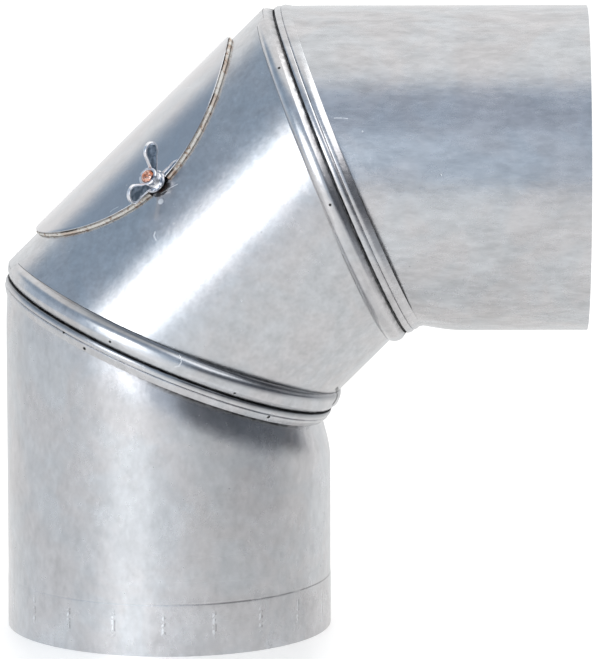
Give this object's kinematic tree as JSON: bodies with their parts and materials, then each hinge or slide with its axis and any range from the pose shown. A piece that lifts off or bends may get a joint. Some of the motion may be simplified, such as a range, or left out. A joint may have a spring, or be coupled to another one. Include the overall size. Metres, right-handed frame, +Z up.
{
  "type": "stove pipe elbow",
  "caption": "Right-angle stove pipe elbow of mitred sheet-metal tubes with rolled swivel seams and a bent inspection hatch held by wing nuts.",
  "frame": {"origin": "centre of the lower tube's rim", "axes": "+Z up the lower tube's axis, +X towards the upper outlet, the bend lies in the XZ plane and the pictured side faces -Y"},
  "size_m": [0.2693, 0.1654, 0.2899],
  "materials": {
    "zinc_sheet": "bright hot-dipped sheet with soft mottling",
    "cover_sheet": "bright smooth sheet",
    "gasket_fibre": "cream fibre board with brown flecks",
    "copper_plate": "copper-plated steel",
    "zinc_plate": "bright zinc-plated casting"
  },
  "bodies": {
    "lower": {"lower_segment": "zinc_sheet"},
    "middle": {"middle_segment": "zinc_sheet", "hatch_gasket": "gasket_fibre", "hatch_cover": "cover_sheet", "near_stud": "copper_plate", "far_stud": "copper_plate"},
    "upper": {"upper_segment": "zinc_sheet"},
    "near_nut": {"near_wing_nut": "zinc_plate"},
    "far_nut": {"far_wing_nut": "zinc_plate"}
  },
  "joints": [
    {"name": "lower_swivel", "type": "hinge", "parent": "lower", "child": "middle", "pos_m": [0.00231, 0, 0.13664], "axis": [0.3827, 0, 0.9239], "continuous": true},
    {"name": "upper_swivel", "type": "hinge", "parent": "middle", "child": "upper", "pos_m": [0.0774, 0, 0.21173], "axis": [0.9239, 0, 0.3827], "continuous": true},
    {"name": "near_nut_turn", "type": "hinge", "parent": "middle", "child": "near_nut", "pos_m": [-0.00509, -0.04997, 0.2163], "axis": [-0.5405, -0.6447, 0.5405], "continuous": true},
    {"name": "far_nut_turn", "type": "hinge", "parent": "middle", "child": "far_nut", "pos_m": [-0.00509, 0.04997, 0.2163], "axis": [-0.5405, 0.6447, 0.5405], "continuous": true}
  ]
}
